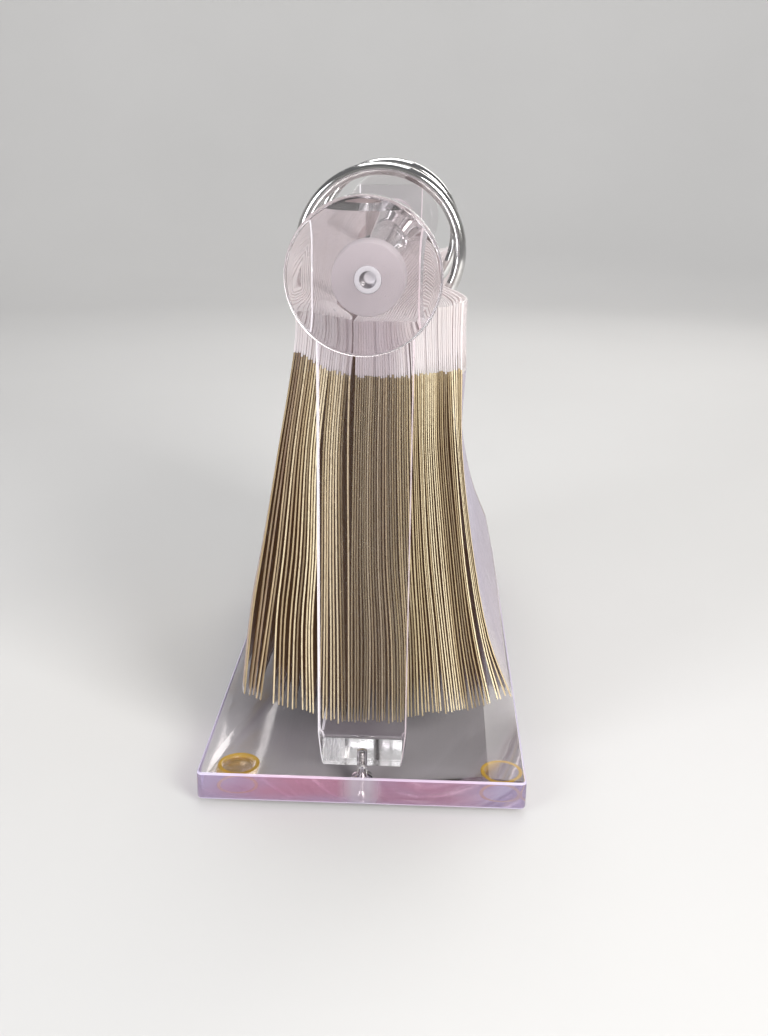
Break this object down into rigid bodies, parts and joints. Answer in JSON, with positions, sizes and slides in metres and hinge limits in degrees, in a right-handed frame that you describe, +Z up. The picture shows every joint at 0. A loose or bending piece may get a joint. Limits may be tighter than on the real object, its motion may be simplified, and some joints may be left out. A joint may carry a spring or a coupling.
{
  "type": "rotary card file",
  "caption": "Desk rotary card file: clear acrylic base and U-shaped stand carry a turning axle with round end knobs and chrome rings from which sleeved cards hang and flip.",
  "frame": {"origin": "centre of the base plate's footprint, on the table surface under the feet", "axes": "+Z up; +Y along the axle from the front knob to the rear knob; +X to the right seen from the front knob"},
  "size_m": [0.127, 0.2964, 0.2373],
  "materials": {
    "clear_acrylic": "polished clear cast acrylic",
    "frosted_acrylic": "sawn and sanded, frosted white",
    "amber_bumper": "aged clear polyurethane, amber",
    "steel_screw": "zinc plated",
    "chrome": "bright chrome plate",
    "clear_vinyl": "clear vinyl film, slightly clouded",
    "card_paper": "matt card with cream to tan edges"
  },
  "bodies": {
    "stand": {"base_plate": "clear_acrylic", "stand_frame": "clear_acrylic", "foot_front_left": "amber_bumper", "foot_front_right": "amber_bumper", "foot_rear_left": "amber_bumper", "foot_rear_right": "amber_bumper", "front_stand_screw": "steel_screw", "rear_stand_screw": "steel_screw"},
    "spindle": {"axle_rod": "clear_acrylic", "front_knob_disc": "clear_acrylic", "rear_knob_disc": "clear_acrylic", "front_knob_hub": "frosted_acrylic", "rear_knob_hub": "frosted_acrylic", "front_ring": "chrome", "rear_ring": "chrome"},
    "left_cards": {"left_sleeves": "clear_vinyl", "left_inserts": "card_paper"},
    "middle_cards": {"middle_sleeves": "clear_vinyl", "middle_inserts": "card_paper"},
    "right_cards": {"right_sleeves": "clear_vinyl", "right_inserts": "card_paper"},
    "outer_cards": {"outer_sleeves": "clear_vinyl", "outer_inserts": "card_paper"}
  },
  "joints": [
    {"name": "spindle_turn", "type": "hinge", "parent": "stand", "child": "spindle", "pos_m": [0.0013, 0, 0.2027], "axis": [0, 1, 0], "continuous": true},
    {"name": "left_cards_flip", "type": "hinge", "parent": "spindle", "child": "left_cards", "pos_m": [0.0013, 0, 0.2027], "axis": [0, 1, 0], "range_deg": [0, 105]},
    {"name": "middle_cards_flip", "type": "hinge", "parent": "spindle", "child": "middle_cards", "pos_m": [0.0013, 0, 0.2027], "axis": [0, -1, 0], "range_deg": [0, 40]},
    {"name": "right_cards_flip", "type": "hinge", "parent": "middle_cards", "child": "right_cards", "pos_m": [0.0013, 0, 0.2027], "axis": [0, -1, 0], "range_deg": [0, 40]},
    {"name": "outer_cards_flip", "type": "hinge", "parent": "right_cards", "child": "outer_cards", "pos_m": [0.0013, 0, 0.2027], "axis": [0, -1, 0], "range_deg": [0, 35]}
  ]
}
